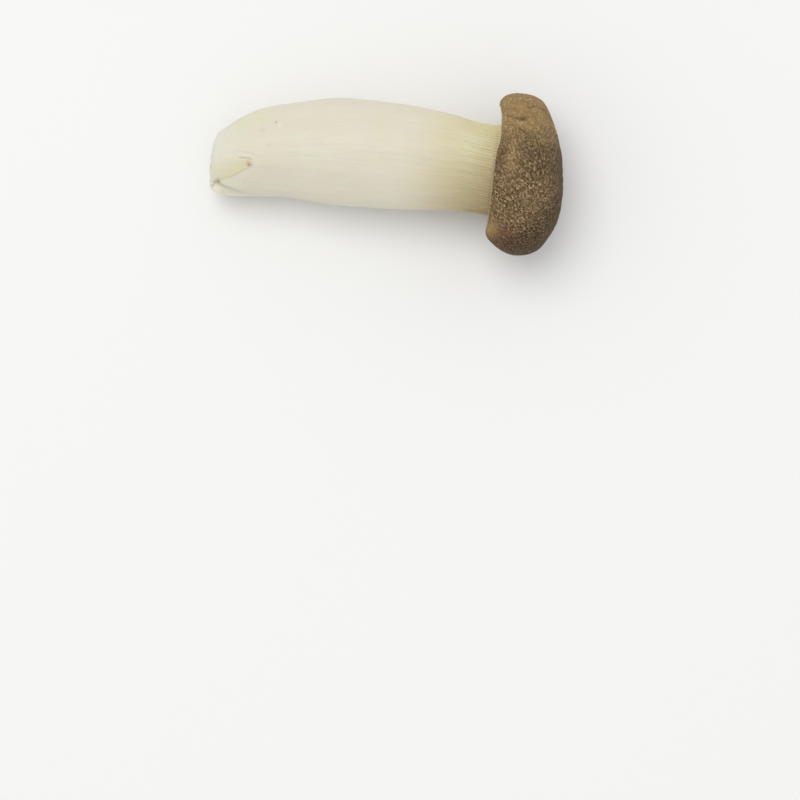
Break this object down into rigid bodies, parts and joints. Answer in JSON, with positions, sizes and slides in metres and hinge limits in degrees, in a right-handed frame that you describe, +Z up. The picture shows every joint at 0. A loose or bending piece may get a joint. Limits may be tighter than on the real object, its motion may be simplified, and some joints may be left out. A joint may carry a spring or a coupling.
{
  "type": "king oyster mushroom",
  "caption": "Whole fresh king oyster mushroom lying on its side, with a thick pale stem, trimmed foot, gills running down the neck and a small domed brown cap.",
  "frame": {"origin": "on the surface that the mushroom lies on, under the middle of its box", "axes": "+X from the trimmed foot to the cap, +Y across the mushroom, +Z up from the surface"},
  "size_m": [0.1014, 0.046, 0.0379],
  "materials": {
    "flesh": "satin",
    "cap_skin": "matte",
    "gills": "matte"
  },
  "bodies": {
    "root": {"mushroom": "flesh"}
  },
  "joints": []
}
